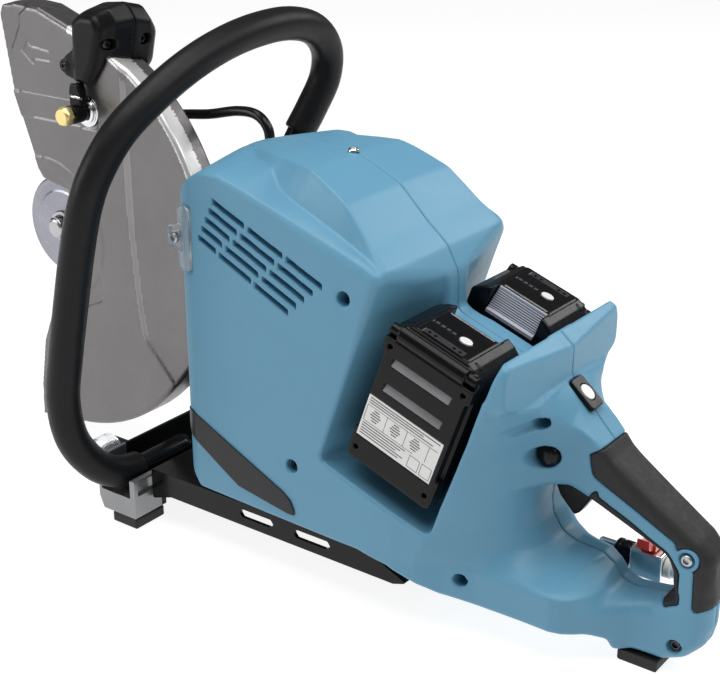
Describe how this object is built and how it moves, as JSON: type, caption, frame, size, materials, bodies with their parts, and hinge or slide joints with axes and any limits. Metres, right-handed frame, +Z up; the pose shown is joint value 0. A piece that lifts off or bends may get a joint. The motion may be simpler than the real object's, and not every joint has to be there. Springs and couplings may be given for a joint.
{
  "type": "rescue saw",
  "caption": "Cordless power cutter body with a swinging wheel guard, looped front handle, D-shaped rear handle, side battery bays and a water feed; no wheel fitted.",
  "frame": {"origin": "middle of the bounding box, on the ground plane under the feet", "axes": "+X towards the rear handle, +Y towards the right-hand side of the tool, +Z up; the wheel spindle lies along Y at the front"},
  "size_m": [0.688, 0.2949, 0.412],
  "materials": {
    "housing_teal": "satin moulded plastic, fine grain",
    "guard_steel": "satin pressed sheet",
    "flange_steel": "turned and zinc plated, slightly blue",
    "black_plastic": "satin black moulding",
    "black_rubber": "matt soft cover",
    "black_steel": "gloss black paint",
    "chrome": "bright plated",
    "brass": "machined brass",
    "cast_alloy": "as-cast light alloy",
    "steel": "machined steel",
    "copper": "wound copper and laminations, stood in by one solid",
    "red_plastic": "satin red moulding",
    "white_plastic": "satin white moulding",
    "grey_plastic": "satin grey moulding",
    "clear_plastic": "clear moulded plastic"
  },
  "bodies": {
    "frame": {"housing_left": "housing_teal", "housing_right": "housing_teal", "rating_plate": "black_plastic", "side_clip": "clear_plastic", "clip_screw": "steel", "drive_arm": "cast_alloy", "arm_cover": "cast_alloy", "drive_belt": "black_rubber", "motor_stator": "copper", "controller_case": "black_plastic", "under_frame": "black_steel", "front_bracket": "black_plastic", "front_foot_left": "black_rubber", "front_foot_right": "black_rubber", "rear_foot": "black_rubber", "front_handle_tube": "black_steel", "front_handle_sleeve": "black_rubber", "handle_mount_right": "cast_alloy", "grip_rubber_outer": "black_rubber", "grip_rubber_inner": "black_rubber", "light_bezel": "black_plastic", "valve_body": "chrome", "valve_nipple": "white_plastic", "valve_nut": "black_plastic", "valve_pipe": "chrome", "water_hose": "black_rubber", "housing_screw_top": "steel", "housing_screw_tail": "steel", "terminal_left": "black_plastic", "terminal_right": "black_plastic"},
    "guard": {"guard_shell": "guard_steel", "guard_hub_ring": "steel", "guard_grip_left": "black_plastic", "guard_grip_right": "black_plastic", "grip_screw_left": "steel", "grip_screw_right": "steel", "spray_elbow": "black_plastic", "spray_clip": "chrome", "brass_plug": "brass"},
    "spindle_set": {"spindle": "steel", "inner_flange": "flange_steel", "outer_flange": "flange_steel", "spindle_bolt": "steel", "spindle_pulley": "steel"},
    "motor_set": {"motor_rotor": "steel", "motor_fan": "black_plastic", "motor_pulley": "steel"},
    "trigger": {"trigger": "black_plastic"},
    "lock_button": {"lock_button": "black_plastic"},
    "light_button": {"light_button": "white_plastic"},
    "valve_lever": {"valve_lever": "red_plastic"},
    "roller_left": {"roller_left": "clear_plastic"},
    "roller_right": {"roller_right": "clear_plastic"},
    "battery_left": {"battery_left_case": "black_plastic"},
    "battery_left_latch": {"battery_left_latch": "grey_plastic"},
    "battery_left_button": {"battery_left_button": "white_plastic"},
    "battery_right": {"battery_right_case": "black_plastic"},
    "battery_right_latch": {"battery_right_latch": "grey_plastic"},
    "battery_right_button": {"battery_right_button": "white_plastic"}
  },
  "joints": [
    {"name": "guard_tilt", "type": "hinge", "parent": "frame", "child": "guard", "pos_m": [-0.299, 0.011, 0.205], "axis": [0, 1, 0], "range_deg": [-45, 20], "deforming": ["water_hose"]},
    {"name": "motor_spin", "type": "hinge", "parent": "frame", "child": "motor_set", "pos_m": [0.001, 0, 0.2], "axis": [0, 1, 0], "continuous": true},
    {"name": "spindle_spin", "type": "hinge", "parent": "frame", "child": "spindle_set", "pos_m": [-0.299, 0.04, 0.205], "axis": [0, 1, 0], "continuous": true},
    {"name": "trigger_pull", "type": "hinge", "parent": "frame", "child": "trigger", "pos_m": [0.2215, 0, 0.124], "axis": [0, -1, 0], "range_deg": [0, 9], "stiffness_Nm_per_rad": 0.8, "springref_deg": -2.86},
    {"name": "lock_button_press", "type": "slide", "parent": "frame", "child": "lock_button", "axis": [0, 1, 0], "range_m": [0, 0.003], "stiffness_N_per_m": 500, "springref_m": -0.001},
    {"name": "light_button_press", "type": "slide", "parent": "frame", "child": "light_button", "axis": [-0.6606, 0, -0.7507], "range_m": [0, 0.0008], "stiffness_N_per_m": 1500, "springref_m": -0.0004},
    {"name": "valve_lever_turn", "type": "hinge", "parent": "frame", "child": "valve_lever", "pos_m": [0.277, 0.0365, 0.0614], "axis": [0, 0, 1], "range_deg": [0, 90]},
    {"name": "roller_left_spin", "type": "hinge", "parent": "frame", "child": "roller_left", "pos_m": [-0.178, -0.07, 0.048], "axis": [0, 1, 0], "continuous": true},
    {"name": "roller_right_spin", "type": "hinge", "parent": "frame", "child": "roller_right", "pos_m": [-0.178, 0.07, 0.048], "axis": [0, 1, 0], "continuous": true},
    {"name": "battery_left_slide", "type": "slide", "parent": "frame", "child": "battery_left", "axis": [0.3338, 0, 0.9426], "range_m": [0, 0.14]},
    {"name": "battery_left_latch_press", "type": "slide", "parent": "battery_left", "child": "battery_left_latch", "axis": [-0.3338, 0, -0.9426], "range_m": [0, 0.004], "stiffness_N_per_m": 400, "springref_m": -0.003},
    {"name": "battery_left_button_press", "type": "slide", "parent": "battery_left", "child": "battery_left_button", "axis": [-0.3338, 0, -0.9426], "range_m": [0, 0.0008], "stiffness_N_per_m": 1500, "springref_m": -0.0004},
    {"name": "battery_right_slide", "type": "slide", "parent": "frame", "child": "battery_right", "axis": [0.3338, 0, 0.9426], "range_m": [0, 0.14]},
    {"name": "battery_right_latch_press", "type": "slide", "parent": "battery_right", "child": "battery_right_latch", "axis": [-0.3338, 0, -0.9426], "range_m": [0, 0.004], "stiffness_N_per_m": 400, "springref_m": -0.003},
    {"name": "battery_right_button_press", "type": "slide", "parent": "battery_right", "child": "battery_right_button", "axis": [-0.3338, 0, -0.9426], "range_m": [0, 0.0008], "stiffness_N_per_m": 1500, "springref_m": -0.0004}
  ],
  "couplings": [
    {"joint": "spindle_spin", "follows": "motor_spin", "ratio": 1}
  ]
}
